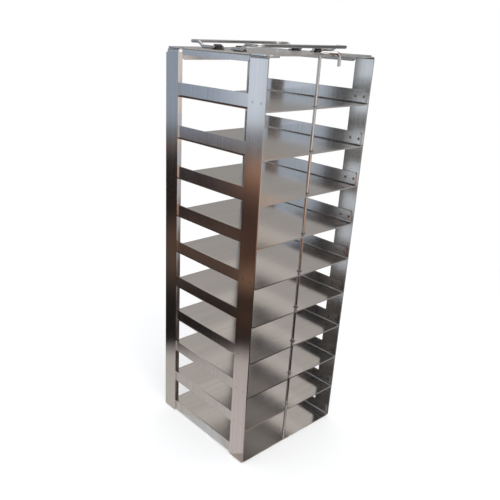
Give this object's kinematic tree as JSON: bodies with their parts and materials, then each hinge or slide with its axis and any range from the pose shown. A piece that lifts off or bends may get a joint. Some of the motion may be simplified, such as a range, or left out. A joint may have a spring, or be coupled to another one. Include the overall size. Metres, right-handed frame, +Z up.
{
  "type": "freezer storage rack",
  "caption": "Tall open rack of bent stainless sheet with channel shelves between corner uprights, fold-down wire carrying handles on top and a drop-in locking rod at the open front.",
  "frame": {"origin": "on the floor, under the middle of the rack's square footprint", "axes": "+Z up; the open front with the locking rod faces -Y; +X to the right seen from the front"},
  "size_m": [0.14, 0.1445, 0.4123],
  "materials": {
    "sheet": "satin stainless sheet, fine grain",
    "wire": "bright drawn stainless wire",
    "clip": "thin stainless strip, darkened by spot welding"
  },
  "bodies": {
    "frame": {"shelf_01": "sheet", "shelf_02": "sheet", "shelf_03": "sheet", "shelf_04": "sheet", "shelf_05": "sheet", "shelf_06": "sheet", "shelf_07": "sheet", "shelf_08": "sheet", "shelf_09": "sheet", "shelf_10": "sheet", "front_left_upright": "sheet", "front_right_upright": "sheet", "back_left_upright": "sheet", "back_right_upright": "sheet", "top_plate": "sheet", "rear_left_hinge_clip": "clip", "rear_right_hinge_clip": "clip", "front_left_hinge_clip": "clip", "front_right_hinge_clip": "clip"},
    "rear_bail": {"rear_handle": "wire"},
    "front_bail": {"front_handle": "wire"},
    "lock": {"locking_rod": "wire"}
  },
  "joints": [
    {"name": "rear_handle_hinge", "type": "hinge", "parent": "frame", "child": "rear_bail", "pos_m": [0, 0.015, 0.40685], "axis": [1, 0, 0], "range_deg": [0, 107]},
    {"name": "front_handle_hinge", "type": "hinge", "parent": "frame", "child": "front_bail", "pos_m": [0, -0.015, 0.40685], "axis": [-1, 0, 0], "range_deg": [0, 107]},
    {"name": "locking_rod_slide", "type": "slide", "parent": "frame", "child": "lock", "axis": [0, 0, 1], "range_m": [0, 0.404]}
  ]
}
